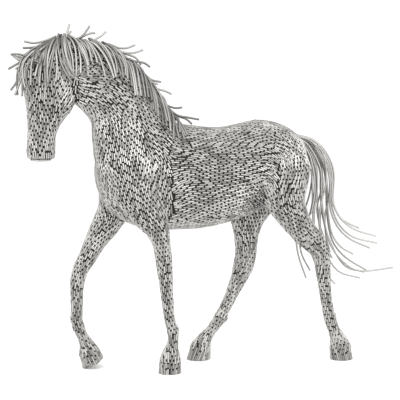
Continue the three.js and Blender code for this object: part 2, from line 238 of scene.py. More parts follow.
# %% Guide lines, head to tail and downwards, in centimetres
BOTH_SIDES = {
    "face_front": [(-97, -4, 146), (-96, -4, 136), (-96, -2, 118), (-96, -3, 110)],
    "face_middle": [(-93, -8, 146), (-92, -7, 134), (-91, -6, 120), (-91, -6, 108)],
    "cheek_front": [(-88, -10, 144), (-88, -8, 134), (-87, -5, 115), (-86, -5, 108)],
    "cheek": [(-81, -9, 145), (-83, -9, 137), (-84, -8, 130), (-85, -4, 111)],
    "cheek_rear": [(-75, -7, 144), (-77, -7, 138), (-80, -8, 132), (-83, -5, 122)],
    "jaw": [(-73, -5, 136), (-76, -6, 131), (-80, -6, 128)],
    "ear_root": [(-82, -7, 158), (-84, -9, 152), (-85, -10, 146)],
    "poll": [(-77, -7, 150), (-73, -7, 152), (-68, -6, 154)],
    "upper_neck": [(-72, -8, 146), (-61, -8, 144), (-54, -8, 141), (-47, -9, 136)],
    "throat_high": [(-72, -7, 140), (-68, -8, 139), (-63, -8, 136), (-58, -9, 132), (-54, -11, 126),
        (-52, -13, 118)],
    "throat": [(-72, -5, 135), (-67, -7, 133), (-63, -7, 129), (-60, -9, 123), (-58, -11, 115),
        (-57, -13, 106)],
    "throat_low": [(-70, -4, 132), (-67, -3, 128), (-64, -2, 122), (-63, -3, 105)],
    "chest": [(-63, -3, 103), (-62, -3, 96), (-60, -3, 87), (-57, -5, 79)],
    "neck_middle": [(-57, -9, 138), (-51, -10, 133), (-47, -12, 127), (-44, -14, 119), (-43, -16, 110),
        (-43, -20, 101), (-43, -21, 92)],
    "breast": [(-57, -13, 106), (-56, -17, 96), (-54, -17, 88), (-51, -17, 81)],
    "crest": [(-53, -5, 151), (-47, -6, 144), (-41, -7, 138), (-35, -7, 130), (-29, -9, 123)],
    "withers_side": [(-43, -10, 129), (-38, -12, 123), (-32, -13, 118), (-27, -15, 113), (-20, -17, 110)],
    "topline": [(-20, -6, 122), (-11, -7, 120), (-2, -8, 120), (7, -7, 121), (16, -7, 123), (22, -8, 124),
        (28, -11, 122), (34, -13, 118), (37, -15, 114)],
    "back": [(-21, -14, 116), (-1, -14, 115), (10, -15, 116), (18, -16, 116), (25, -17, 114),
        (31, -19, 110), (34, -20, 105), (35, -21, 97), (33, -22, 90)],
    "barrel_high": [(-26, -17, 109), (-15, -18, 108), (10, -20, 108), (20, -20, 107), (25, -20, 104)],
    "barrel": [(-29, -19, 104), (-21, -19, 104), (-8, -20, 102), (14, -21, 101), (21, -21, 99),
        (25, -20, 96)],
    "elbow_arc_high": [(-30, -20, 97), (-26, -20, 99), (-20, -20, 100), (-14, -21, 100)],
    "elbow_arc": [(-30, -19, 91), (-26, -20, 94), (-20, -20, 96), (-11, -21, 96), (0, -22, 95),
        (10, -21, 93), (17, -19, 90)],
    "elbow_arc_low": [(-29, -16, 85), (-22, -19, 87), (-6, -21, 87), (3, -20, 86)],
    "belly_side": [(-28, -14, 78), (-22, -16, 79), (-14, -18, 80), (2, -17, 80)],
    "belly_low": [(-26, -10, 74), (-20, -10, 73), (-7, -12, 74)],
}
NEAR_SIDE = {
    "shoulder": [(-50, -16, 110), (-49, -20, 100), (-47, -21, 91), (-43, -20, 81), (-39, -19, 73)],
    "shoulder_rear": [(-42, -15, 117), (-37, -16, 111), (-34, -18, 106), (-33, -19, 98), (-32, -19, 89),
        (-31, -15, 79)],
    "foreleg": [(-39, -19, 73), (-36, -17, 65), (-34, -17, 57), (-32, -16, 43), (-30, -14, 30),
        (-28, -14, 21), (-28, -14, 13), (-29, -16, 4)],
    "thigh_front": [(28, -20, 105), (29, -21, 98), (29, -21, 85), (32, -20, 79), (38, -19, 72),
        (45, -18, 64), (50, -16, 57)],
    "stifle": [(17, -19, 90), (22, -17, 86), (26, -18, 80), (32, -18, 73), (39, -17, 65), (46, -16, 59),
        (50, -14, 51)],
    "buttock": [(37, -19, 105), (38, -20, 97), (37, -21, 90), (39, -20, 82), (44, -18, 74), (50, -17, 67),
        (54, -17, 60)],
    "hind_leg": [(52, -16, 53), (53, -15, 41), (55, -15, 30), (57, -15, 20), (59, -14, 9), (60, -15, 3)],
}
FAR_SIDE = {
    "shoulder": [(-50, 16, 110), (-49, 20, 100), (-49, 21, 91), (-51, 20, 81), (-54, 17, 73)],
    "shoulder_rear": [(-42, 15, 117), (-37, 16, 111), (-34, 18, 106), (-33, 19, 98), (-36, 19, 89),
        (-43, 16, 79)],
    "foreleg": [(-50, 13, 78), (-56, 13, 70), (-62, 13, 60), (-66, 13, 52), (-69, 13, 40), (-69, 13, 27),
        (-67, 13, 20), (-63, 13, 12), (-60, 13, 6)],
    "thigh_front": [(28, 20, 105), (27, 21, 98), (25, 21, 88), (23, 19, 78), (20, 17, 68)],
    "stifle": [(17, 19, 90), (20, 18, 84), (19, 18, 76), (18, 17, 66)],
    "buttock": [(37, 19, 105), (37, 20, 97), (34, 21, 88), (31, 20, 78), (27, 18, 68)],
    "hind_leg": [(21, 12, 78), (21, 12, 67), (21, 12, 56), (19, 12, 48), (15, 12, 39), (10, 12, 30),
        (4, 12, 21), (-2, 12, 13), (-6, 12, 4)],
    "ear": [(-92, 6, 152), (-102, 9, 156)],
}
CENTIMETRES = 100
GUIDE_STEP = 0.03


def guide_samples():
    """Points every few centimetres along all guides, and the direction at each."""
    mirrored = [[(x, -y, z) for x, y, z in line] for line in BOTH_SIDES.values()]
    lines = [*BOTH_SIDES.values(), *mirrored, *NEAR_SIDE.values(), *FAR_SIDE.values()]
    places, aims = [], []
    for line in lines:
        points = np.array(line) / CENTIMETRES
        for a, b in zip(points[:-1], points[1:]):
            span = np.linalg.norm(b - a)
            count = max(1, round(span / GUIDE_STEP))
            for i in range(count):
                places.append(a + (b - a) * (i + 0.5) / count)
                aims.append((b - a) / span)
    return np.array(places), np.array(aims)


guide_places, guide_aims = guide_samples()
print("guides", len(guide_places), "samples")

# %% [markdown]
# Between the guides the direction is blended by nearness. The blend is steep, so two guides that
# lie close together and disagree leave a sharp border between them. The soles and the flat end of
# the muzzle are filled from front to rear.

# %% Blend the guides over the surface
NEARNESS = 4
SOFTEST = 1e-4
AT_ONCE = 4000
FACING_DOWN = -0.75
FEET = 0.02
MUZZLE_REAR = -0.8
MUZZLE_HEIGHTS = (1.0, 1.08)


def grain(mesh):
    """The pipes' direction on each face of the mesh, as a unit vector along the surface."""
    count = len(mesh.polygons)
    centres, normals = triples(mesh.polygons, "center"), triples(mesh.polygons, "normal")
    aims = np.empty((count, 3))
    for start in range(0, count, AT_ONCE):
        part = slice(start, start + AT_ONCE)
        offsets = centres[part, None, :] - guide_places[None, :, :]
        weights = 1 / ((offsets ** 2).sum(2) + SOFTEST) ** (NEARNESS / 2)
        aims[part] = np.einsum("nk,ki->ni", weights, guide_aims)
    x, z = centres[:, 0], centres[:, 2]
    muzzle = (x < MUZZLE_REAR) & (z > MUZZLE_HEIGHTS[0]) & (z < MUZZLE_HEIGHTS[1])
    aims[(normals[:, 2] < FACING_DOWN) & ((z < FEET) | muzzle)] = (1, 0, 0)
    aims -= normals * (aims * normals).sum(1, keepdims=True)
    aims /= np.linalg.norm(aims, axis=1, keepdims=True) + 1e-12
    return aims


lay_grain = [tuple(aim) for aim in grain(lay)]
print("grain on", len(lay_grain), "faces")

# %% [markdown]
# ## Rows of pipe
# A welder lays the first pipe, then sets each further row against the last one. The script does
# the same: a row is traced along the grain until it meets another row, turns too sharply or comes
# back to itself, and each finished row offers new starts one spacing to its left and right.

# %% Trace the rows
STEP = 0.006
TOO_CLOSE = 0.64 * ROW_SPACING
START_CLEAR = 0.74 * ROW_SPACING
OWN_ROW = 4 * ROW_SPACING
SHARPEST_TURN = math.cos(math.radians(24))
STUCK = 0.3 * STEP
MOST_STEPS = 600
FIRST_START = Vector((-0.05, -0.25, 1.02))


class Grid:
    """Entries by their place, in a grid of cells, so that the near ones are found fast."""

    def __init__(self, size):
        self.size = size
        self.cells = {}

    def add(self, place, entry):
        self.cells.setdefault(tuple(int(c // self.size) for c in place), []).append(entry)

    def near(self, place):
        """The entries of the place's own cell and of the 26 round it."""
        i, j, k = (int(c // self.size) for c in place)
        for a in (i - 1, i, i + 1):
            for b in (j - 1, j, j + 1):
                for c in (k - 1, k, k + 1):
                    yield from self.cells.get((a, b, c), ())


def mark(field, place, row, along):
    field.add(place, (*place, row, along))


def crowded(field, place, clear, row=-1, along=0.0):
    """Whether another row, or a far part of the same one, passes nearer than the clear distance."""
    x, y, z = place
    for other_x, other_y, other_z, other, at in field.near(place):
        if other == row and abs(at - along) < OWN_ROW:
            continue
        if (other_x - x) ** 2 + (other_y - y) ** 2 + (other_z - z) ** 2 < clear * clear:
            return True
    return False


def direction_at(face, normal):
    aim = Vector(lay_grain[face])
    return (aim - normal * aim.dot(normal)).normalized()


def trace(field, start, row):
    """A row through a start point, as (place, normal, aim) with the distance along it."""
    place, normal, face, _ = lay_tree.find_nearest(start)
    aim = direction_at(face, normal)
    first = (0.0, place, normal, aim)
    halves = []
    for way in (-1, 1):
        half = []
        here, heading = place, aim * way
        along = 0.0
        while len(half) < MOST_STEPS:
            nearest, normal_here, face, _ = lay_tree.find_nearest(here + heading * STEP)
            turned = direction_at(face, normal_here) * way
            along += way * (nearest - here).length
            if turned.dot(heading) < SHARPEST_TURN:
                break
            if (nearest - here).length < STUCK or crowded(field, nearest, TOO_CLOSE, row, along):
                break
            half.append((along, nearest, normal_here, turned * way))
            here, heading = nearest, turned
            mark(field, nearest, row, along)
        halves.append(half)
    mark(field, place, row, 0.0)
    return halves[0][::-1] + [first] + halves[1]


def length_of(row):
    return row[-1][0] - row[0][0]


def lay_rows():
    """All rows, in the order in which they are laid."""
    field = Grid(ROW_SPACING)
    rows = []
    waiting = []

    def try_row(start):
        place = lay_tree.find_nearest(start)[0]
        if not crowded(field, place, START_CLEAR):
            rows.append(trace(field, place, len(rows)))
            if length_of(rows[-1]) > SHORTEST:
                waiting.append(rows[-1])

    done = 0
    for start in [FIRST_START, *(vertex.co for vertex in lay.vertices)]:
        try_row(start)
        while done < len(waiting):
            for _, place, normal, aim in waiting[done][::2]:
                aside = normal.cross(aim) * ROW_SPACING
                try_row(place + aside)
                try_row(place - aside)
            done += 1
    return rows


rows = lay_rows()
print("rows", len(rows), "in all", round(sum(map(length_of, rows)), 1), "m")

# %% [markdown]
# The joints are staggered, as bricks are laid: a welder never leaves two gaps side by side. For
# each next joint the script looks at a few places about one pitch on, and takes the one that is
# furthest from the joints of the rows beside it. The legs have somewhat longer pipes and tighter
# joints than the body.

# %% Cut the rows into short pipes
def point_along(row, along):
    """The place and the normal at a distance along a row."""
    high = bisect_right(row, along, 1, len(row) - 1, key=lambda sample: sample[0])
    a, b = row[high - 1], row[high]
    t = (along - a[0]) / max(b[0] - a[0], 1e-9)
    return a[1].lerp(b[1], t), a[2].lerp(b[2], t)


NEXT_ROW = 1.25 * ROW_SPACING
PITCH_SHARES = [0.76 + 0.06 * i for i in range(9)]
FIRST_SHARES = [0.3 + 0.1 * i for i in range(9)]
EVEN_PITCH = 0.5
LAST_JOINT = 0.3
TIGHTER = 0.001
UNEVEN = 0.001
LEG_TOP = 0.68


def best_joint(row, start, shares, joints, pitch):
    """Of a few places for the next joint, the one that is furthest from the neighbours' joints."""
    best, best_score = None, -9
    near = list(joints.near(point_along(row, start + pitch)[0]))
    for share in shares:
        at = start + share * pitch
        place = point_along(row, at)[0]
        aim = (point_along(row, at + STEP)[0] - point_along(row, at - STEP)[0]).normalized()
        clear = pitch / 2
        for other in near:
            offset = other - place
            along = offset.dot(aim)
            if offset.length_squared - along * along < NEXT_ROW ** 2:
                clear = min(clear, abs(along))
        score = clear / (pitch / 2) - EVEN_PITCH * abs(share - 1)
        if score > best_score:
            best, best_score = at, score
    return best


def cut(row, joints):
    """The short pipes of one row: (centre, aim, length) each."""
    first, last = row[0][0], row[-1][0]
    on_leg = max(row[0][1].z, row[-1][1].z) < LEG_TOP
    pitch, gap = (LEG_PITCH, LEG_GAP) if on_leg else (PITCH, GAP)
    ends = [first - gap / 2 + TIGHTER]
    at = best_joint(row, first, FIRST_SHARES, joints, pitch)
    while at < last - LAST_JOINT * pitch:
        place = point_along(row, at)[0]
        joints.add(place, place)
        ends.append(at + random.uniform(-UNEVEN, UNEVEN))
        at = best_joint(row, at, PITCH_SHARES, joints, pitch)
    ends.append(last + gap / 2 - TIGHTER)
    pipes = []
    for a, b in zip(ends[:-1], ends[1:]):
        start, end = a + gap / 2, b - gap / 2
        if end - start < SHORTEST:
            continue
        p = point_along(row, start)[0]
        q = point_along(row, end)[0]
        pipes.append(((p + q) / 2, (q - p).normalized(), (q - p).length))
    return pipes


joints = Grid(PITCH)
row_pipes = [pipe for row in rows if length_of(row) > SHORTEST for pipe in cut(row, joints)]
print("pipes cut from rows", len(row_pipes))

# %% [markdown]
# Rows that run together or apart leave their pipes here too tight and there too loose. A welder
# nudges each pipe sideways until it touches both neighbours. The same is done here: a pipe is
# pushed off every neighbour that is nearer than one spacing, a little at a time, and is set back
# on the surface after each round.

# %% Nudge the pipes sideways
NUDGE_ROUNDS = 8
NUDGES = 6
NUDGE_SHARE = 0.3
NUDGE_LIMIT = 0.0015
ALIKE = 0.8


def neighbour_pairs(centres):
    """Every two pipes whose centres lie less than a pitch apart, both ways round."""
    tree = KDTree(len(centres))
    for i, centre in enumerate(centres):
        tree.insert(centre, i)
    tree.balance()
    pairs = []
    for i, centre in enumerate(centres):
        for _, j, _ in tree.find_range(centre, PITCH):
            if j != i:
                pairs.append((i, j))
    return np.array(pairs)


def nudged(pipes):
    """The pipes, pushed sideways on the surface, off the neighbours that are too near."""
    centres = np.array([p for p, _, _ in pipes])
    aims = np.array([a for _, a, _ in pipes])
    reaches = np.array([r for _, _, r in pipes])
    for _ in range(NUDGE_ROUNDS):
        normals = np.empty_like(centres)
        for i, centre in enumerate(centres):
            place, normal, _, _ = lay_tree.find_nearest(centre)
            centres[i], normals[i] = place, normal
        aims -= normals * (aims * normals).sum(1, keepdims=True)
        aims /= np.linalg.norm(aims, axis=1, keepdims=True)
        i, j = neighbour_pairs(centres).T
        alike = np.abs((aims[i] * aims[j]).sum(1)) > ALIKE
        i, j = i[alike], j[alike]
        asides = np.cross(normals, aims)
        for _ in range(NUDGES):
            offset = centres[j] - centres[i]
            along = np.abs((offset * aims[i]).sum(1))
            aside = (offset * asides[i]).sum(1)
            above = (offset * normals[i]).sum(1)
            beside = np.clip(((reaches[i] + reaches[j]) / 2 - along) / reaches[i], 0, 1)
            apart = np.sqrt(aside ** 2 + above ** 2)
            push = np.where(apart < ROW_SPACING, (apart - ROW_SPACING) * beside * np.sign(aside), 0)
            total = np.bincount(i, push * NUDGE_SHARE, len(centres))
            centres += asides * np.clip(total, -NUDGE_LIMIT, NUDGE_LIMIT)[:, None]
    return [(Vector(c), Vector(a), float(r)) for c, a, r in zip(centres, aims, reaches)]


settled = nudged(row_pipes)
shifts = [(before[0] - after[0]).length for before, after in zip(row_pipes, settled)]
print("nudged", len(settled), "by", round(1000 * float(np.mean(shifts)), 2), "mm")

# %% [markdown]
# Where two grains meet, rows end and leave small bare places. Short offcuts fill them, each as
# long as its place allows.

# %% Fill bare places with offcuts
OFFCUT_CLEAR = 0.76 * ROW_SPACING
OFFCUT_END_CLEAR = 0.8 * ROW_SPACING
OFFCUT_LONGEST = 0.034
OFFCUT_STEP = 0.003
OFFCUT_END = 0.002
OFFCUT_TURN = 0.95
OFFCUT_ROW = -2


def offcuts(pipes):
    """Short straight pipes for the bare places between the given ones."""
    field = Grid(ROW_SPACING)

    def occupy(centre, aim, reach):
        half = max(reach / 2 - OFFCUT_END, 0)
        count = max(1, math.ceil(half / OFFCUT_STEP))
        for k in range(-count, count + 1):
            mark(field, centre + aim * (half * k / count), OFFCUT_ROW, 0)

    for centre, aim, reach in pipes:
        occupy(centre, aim, reach)
    made = []
    starts = list(range(len(lay.vertices)))
    random.shuffle(starts)
    for index in starts:
        place = lay.vertices[index].co
        if crowded(field, place, OFFCUT_CLEAR):
            continue
        _, normal, face, _ = lay_tree.find_nearest(place)
        aim = direction_at(face, normal)
        ends = []
        for way in (-1, 1):
            here, heading = place, aim * way
            reach = 0.0
            while reach < OFFCUT_LONGEST / 2:
                nearest, normal_here, _, _ = lay_tree.find_nearest(here + heading * OFFCUT_STEP)
                turned = (heading - normal_here * heading.dot(normal_here)).normalized()
                if turned.dot(heading) < OFFCUT_TURN or crowded(field, nearest, OFFCUT_END_CLEAR):
                    break
                here, heading = nearest, turned
                reach += OFFCUT_STEP
            ends.append(here)
        span = ends[1] - ends[0]
        if span.length < SHORTEST:
            continue
        pipe = ((ends[0] + ends[1]) / 2, span.normalized(), span.length)
        made.append(pipe)
        occupy(*pipe)
    return made


print("an offcut is", SHORTEST, "to", OFFCUT_LONGEST, "m long")

# %% [markdown]
# Last, the pipes are trimmed to the form. Where the skin curves sharply a long pipe's ends would
# stand off, so it is cut down. The eyes stay open. A standing hoof's lowest pipes run straight to
# the ground, so that the rim is as crisp as the real one, and only the tipped hoof's don't.

# %% Trim the pipes to the form
EYE_PICTURE = (35.5, 68)
EYE_SIZE = 0.016
PROUD = 0.004
TRIM_SHARES = (1, 0.75, 0.5)
HOOF_RIM = 0.026
RIM_PIPE = 0.014
STEEP = 0.6
TIPPED_HOOF = -0.45
eye = on_skin(*EYE_PICTURE)
eyes = [eye, Vector((eye.x, -eye.y, eye.z))]


def grounded(centre, aim, reach):
    """A hoof's lowest pipe runs straight down to the ground, and none lies curled in under the rim."""
    down = aim if aim.z < 0 else -aim
    top = centre - down * reach / 2
    if down.z > -STEEP or top.z < RIM_PIPE:
        return None
    reach = (top.z - PIPE / 2 * math.sqrt(1 - down.z ** 2)) / -down.z
    return top + down * reach / 2, down, reach


def trimmed(pipe):
    """The pipe, shortened until its ends stay on the skin, or nothing where it would shut an eye."""
    centre, aim, reach = pipe
    if min((centre - e).length for e in eyes) < EYE_SIZE:
        return None
    low = centre.z - abs(aim.z) * reach / 2
    if low < HOOF_RIM and centre.x > TIPPED_HOOF:
        return grounded(centre, aim, reach)
    centre.z += max(0, PIPE / 2 - low)
    for share in TRIM_SHARES:
        half = aim * reach * share / 2
        rise = []
        for end in (centre - half, centre + half):
            place, normal, _, _ = lay_tree.find_nearest(end)
            rise.append((end - place).dot(normal))
        if max(rise) < PROUD:
            return centre, aim, reach * share
    return None


settled = list(filter(None, map(trimmed, settled)))
skin_pipes = settled + list(filter(None, map(trimmed, offcuts(settled))))
print("offcuts", len(skin_pipes) - len(settled), "skin pipes in all", len(skin_pipes))

# %% [markdown]
# ## Steel
# The pipe is satin stainless steel. It is a metal with a soft, slightly uneven shine, a little
# warm, and each length differs a shade from the next. The dark inside of the shell shows through
# the open joints, so the form inside the pipes is painted nearly black, as painted shade.

# %% Make the steels
def feed(tree, socket, given):
    """Gives a socket a value, or links it to an output, a node's first one where a node is given."""
    if isinstance(given, bpy.types.Node):
        given = given.outputs[0]
    if isinstance(given, bpy.types.NodeSocket):
        tree.links.new(given, socket)
    else:
        socket.default_value = given


def plug(tree, node, **sockets):
    """Feeds some of a node's sockets, named with an underscore for each space."""
    for name, given in sockets.items():
        label = name.replace("_", " ")
        feed(tree, next(s for s in node.inputs if s.enabled and s.name == label), given)
    return node


def add(tree, kind, settings=None, **sockets):
    """A new node with its own settings, and its sockets fed."""
    node = tree.nodes.new(kind)
    for key, value in (settings or {}).items():
        setattr(node, key, value)
    return plug(tree, node, **sockets)


def maths(tree, operation, *values):
    node = add(tree, "ShaderNodeMath", {"operation": operation})
    for socket, value in zip(node.inputs, values):
        feed(tree, socket, value)
    return node


def ramp(tree, value, shades, stops=(0, 1)):
    """A colour that runs from the first shade to the second as the value rises."""
    node = add(tree, "ShaderNodeValToRGB", Fac=value)
    for element, shade, stop in zip(node.color_ramp.elements, shades, stops):
        element.position = stop
        element.color = (*shade, 1)
    return node


def new_material(name):
    material = bpy.data.materials.new(name)
    material.use_nodes = True
    tree = material.node_tree
    return material, tree, tree.nodes["Principled BSDF"]


CLOUD_SCALE, CLOUD_SHARE = 30, 0.3
TONE_STOPS = (0.15, 0.95)
SMOOTHER, ROUGHER = 0.06, 0.1
GRIT_SCALE, GRIT_STRENGTH, GRIT_DEPTH = 900, 0.12, 0.0004


def steel(name, shade, roughness, spread):
    """Satin steel whose tone differs by up to spread from pipe to pipe, after the attribute tone."""
    material, tree, shader = new_material(name)
    place = add(tree, "ShaderNodeTexCoord").outputs["Object"]
    tone = add(tree, "ShaderNodeAttribute", {"attribute_name": "tone"}).outputs["Fac"]
    cloud = add(tree, "ShaderNodeTexNoise", Vector=place, Scale=CLOUD_SCALE, Detail=3)
    blend = maths(tree, "MULTIPLY_ADD", cloud, CLOUD_SHARE, tone)
    shades = [[c * (1 + change) for c in shade] for change in (-spread, spread)]
    finish = add(tree, "ShaderNodeMapRange", Value=cloud, To_Min=roughness - SMOOTHER,
                 To_Max=roughness + ROUGHER)
    grit = add(tree, "ShaderNodeTexNoise", Vector=place, Scale=GRIT_SCALE)
    bump = add(tree, "ShaderNodeBump", Strength=GRIT_STRENGTH, Distance=GRIT_DEPTH, Height=grit)
    plug(tree, shader, Metallic=1.0, Base_Color=ramp(tree, blend, shades, TONE_STOPS),
         Roughness=finish, Normal=bump)
    return material


# The inside of the shell is painted shade: near-black colours with a faint mottle.
SHADE_MOTTLE_SCALE = 40
PAINTED_SHADE_COLOURS = ((0.004, 0.004, 0.004), (0.016, 0.015, 0.014))


def painted_shade_inside():
    """Painted shade for the unlit inside of the shell: near-black, with a faint mottle."""
    material, tree, shader = new_material("painted_shade_inside")
    place = add(tree, "ShaderNodeTexCoord").outputs["Object"]
    cloud = add(tree, "ShaderNodeTexNoise", Vector=place, Scale=SHADE_MOTTLE_SCALE)
    plug(tree, shader, Metallic=0.3, Roughness=0.9, Base_Color=ramp(tree, cloud, PAINTED_SHADE_COLOURS))
    return material


skin_steel = steel("satin_steel", (0.32, 0.313, 0.300), roughness=0.4, spread=0.4)
# The hair's and the tail's steels are the skin's steel with a different colour, as painted shade and
# painted light: the hair's is darker and the tail's lighter, to set how bright each looks under these
# lamps.
hair_steel = steel("hair_steel", (0.26, 0.254, 0.244), roughness=0.5, spread=0.35)
tail_steel = steel("tail_steel", (0.33, 0.322, 0.310), roughness=0.5, spread=0.15)
# The inside material is the painted shade that shows through the open joints.
inside = painted_shade_inside()
print("materials", skin_steel.name, hair_steel.name, tail_steel.name, inside.name)

# %% [markdown]
# ## One pipe, laid thousands of times
# The skin needs thousands of equal pipes, each hollow and open at both ends. Geometry Nodes sweeps
# a thin rectangle once round a circle, which is a short pipe with a real bore, and sets a copy on
# each point. A point carries its pipe's aim, length and tone as attributes.

# %% The tree that lays short pipes
RIM_ANGLE = math.radians(60)


def new_tree(name, **inputs):
    """A Geometry Nodes tree with geometry in and out, and the outputs that carry its inputs."""
    group = bpy.data.node_groups.new(name, "GeometryNodeTree")
    group.interface.new_socket("Geometry", in_out="INPUT", socket_type="NodeSocketGeometry")
    for key, value in inputs.items():
        kind = "NodeSocketInt" if isinstance(value, int) else "NodeSocketFloat"
        label = key.replace("_", " ")
        socket = group.interface.new_socket(label, in_out="INPUT", socket_type=kind)
        socket.default_value = value
    group.interface.new_socket("Geometry", in_out="OUTPUT", socket_type="NodeSocketGeometry")
    return group, group.nodes.new("NodeGroupInput").outputs


def named(group, name, kind):
    """The value of a named attribute of the points."""
    node = add(group, "GeometryNodeInputNamedAttribute", {"data_type": kind}, Name=name)
    return next(s for s in node.outputs if s.enabled and s.name == "Attribute")


def ring(group, diameter, sides):
    radius = maths(group, "MULTIPLY", diameter, 0.5)
    return add(group, "GeometryNodeCurvePrimitiveCircle", Resolution=sides, Radius=radius)


def crisp_rims(group, geometry):
    """Shades a pipe smooth round its side and keeps its rims crisp."""
    smooth = add(group, "GeometryNodeSetShadeSmooth", Geometry=geometry)
    bend = add(group, "GeometryNodeInputMeshEdgeAngle")
    gentle = add(group, "FunctionNodeCompare", {"operation": "LESS_THAN"}, A=bend, B=RIM_ANGLE)
    edges = {"domain": "EDGE"}
    return add(group, "GeometryNodeSetShadeSmooth", edges, Geometry=smooth, Shade_Smooth=gentle)


def end_tree(group, geometry, material):
    """Makes all copies real, gives them their material and hands them out."""
    real = add(group, "GeometryNodeRealizeInstances", Geometry=geometry)
    paint = add(group, "GeometryNodeSetMaterial", Geometry=real, Material=material)
    add(group, "NodeGroupOutput", Geometry=paint)
    return group


def short_pipe_tree(material):
    group, given = new_tree("lay short pipes", Diameter=PIPE, Wall=WALL, Sides=SKIN_SIDES)
    wall = given["Wall"]
    circle = ring(group, maths(group, "SUBTRACT", given["Diameter"], wall), given["Sides"])
    section = add(group, "GeometryNodeCurvePrimitiveQuadrilateral", Width=wall, Height=1.0)
    sweep = add(group, "GeometryNodeCurveToMesh", Curve=circle, Profile_Curve=section)
    turn = add(group, "FunctionNodeAlignRotationToVector", {"axis": "Z"},
               Vector=named(group, "aim", "FLOAT_VECTOR"))
    size = add(group, "ShaderNodeCombineXYZ", X=1, Y=1, Z=named(group, "reach", "FLOAT"))
    copies = add(group, "GeometryNodeInstanceOnPoints", Points=given["Geometry"],
                 Instance=crisp_rims(group, sweep), Rotation=turn, Scale=size)
    return end_tree(group, copies, material)


short_pipes = short_pipe_tree(skin_steel)
print("tree", short_pipes.name, len(short_pipes.nodes), "nodes")

# %% [markdown]
# A tree's result is turned into a plain mesh, which anyone can open and which no longer needs the
# tree. The helper attributes go, and the tone stays, because the steel reads it.

# %% Turn a tree's result into a plain mesh
def triangles(mesh):
    return sum(len(p.vertices) - 2 for p in mesh.polygons)


def baked(name, mesh, group, **values):
    """The tree run over a mesh, as a plain object at the origin."""
    worker = linked(name, mesh)
    modifier = worker.modifiers.new("nodes", "NODES")
    modifier.node_group = group
    for socket in group.interface.items_tree:
        if socket.item_type == "SOCKET" and socket.name in values:
            modifier[socket.identifier] = values[socket.name]
    plain = evaluated_mesh(worker)
    worker.modifiers.clear()
    worker.data = plain
    for spare in ("aim", "reach"):
        if spare in plain.attributes:
            plain.attributes.remove(plain.attributes[spare])
    print(name, len(plain.vertices), "vertices", triangles(plain), "triangles")
    return worker


def store(mesh, name, kind, values):
    attribute = mesh.attributes.new(name, kind, "POINT")
    attribute.data.foreach_set("vector" if kind == "FLOAT_VECTOR" else "value", values)


def pipe_points(pipes):
    """A mesh of loose points that carries each pipe's aim, length and tone."""
    mesh = bpy.data.meshes.new("pipe_points")
    mesh.from_pydata([p for p, _, _ in pipes], [], [])
    store(mesh, "aim", "FLOAT_VECTOR", [c for _, aim, _ in pipes for c in aim])
    store(mesh, "reach", "FLOAT", [reach for _, _, reach in pipes])
    store(mesh, "tone", "FLOAT", [random.random() for _ in pipes])
    return mesh


print("the frame's body has", triangles(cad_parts["horse_body"].data), "triangles")

# %% [markdown]
# The skin is one shell, but a piece of the export may only be so large. It is parted where a
# person would part a horse: head, neck, shoulders, barrel, haunches and the two pairs of legs.

# %% Lay the skin
LEGS_TOP = 0.70
LEGS_PART = -0.12
HIND_TOE = (-0.2, 0.3)
HEAD_REAR, HEAD_LEAN, HEAD_LOW = -0.70, 0.25, 1.45
NECK_REAR, NECK_LOW = -0.19, 1.12
SHOULDERS_REAR = -0.31
BARREL_REAR = 0.2


def region(place):
    """The part of the horse in which a place lies."""
    x, _, z = place
    if z < LEGS_TOP:
        hind_toe = x > HIND_TOE[0] and z < HIND_TOE[1]
        return "forelegs" if x < LEGS_PART and not hind_toe else "hind_legs"
    if x < HEAD_REAR + HEAD_LEAN * max(0, z - HEAD_LOW):
        return "head"
    if z > NECK_LOW and x < NECK_REAR:
        return "neck"
    if x < SHOULDERS_REAR:
        return "shoulders"
    return "barrel" if x < BARREL_REAR else "haunches"


sorted_pipes = {}
for pipe in skin_pipes:
    sorted_pipes.setdefault(region(pipe[0]), []).append(pipe)

skins = []
for name, pipes in sorted(sorted_pipes.items()):
    skins.append(baked(f"pipe_skin_{name}", pipe_points(pipes), short_pipes))
for skin in skins:
    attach(skin, "root")

# %% [markdown]
# ## The inside of the shell
# Through the open joints one looks into the dark of the hollow animal. A closed form a little
# below the pipes' centre lines, painted near-black as painted shade, stands for that, and it keeps
# the whole horse's shape as one piece.

# %% The form inside the pipes
INSIDE_DEPTH = 0.0072
# This near-black form is painted shade for the dark inside of the hollow shell.
painted_shade_form = linked("painted_shade_inside", sunk(outer, INSIDE_DEPTH))
painted_shade_form.data.materials.clear()
painted_shade_form.data.materials.append(inside)
for polygon in painted_shade_form.data.polygons:
    polygon.use_smooth = True
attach(painted_shade_form, "root")
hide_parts("horse_body")
print("inside", triangles(painted_shade_form.data), "triangles")

# %% [markdown]
# ## Long bent pipes
# The hair is longer lengths of the same kind of pipe, bent by hand and cut off square. Each is a
# line of points. Geometry Nodes sweeps a circle along it, and then sets the two ends in and
# pushes them down, so that each end shows its wall and a dark bore. The ends are the faces with
# more than four corners.

# %% The tree that bends long pipes
BORE_SHARE = 0.74
BORE_DEPTH = 0.012
MOST_SIDES = 4


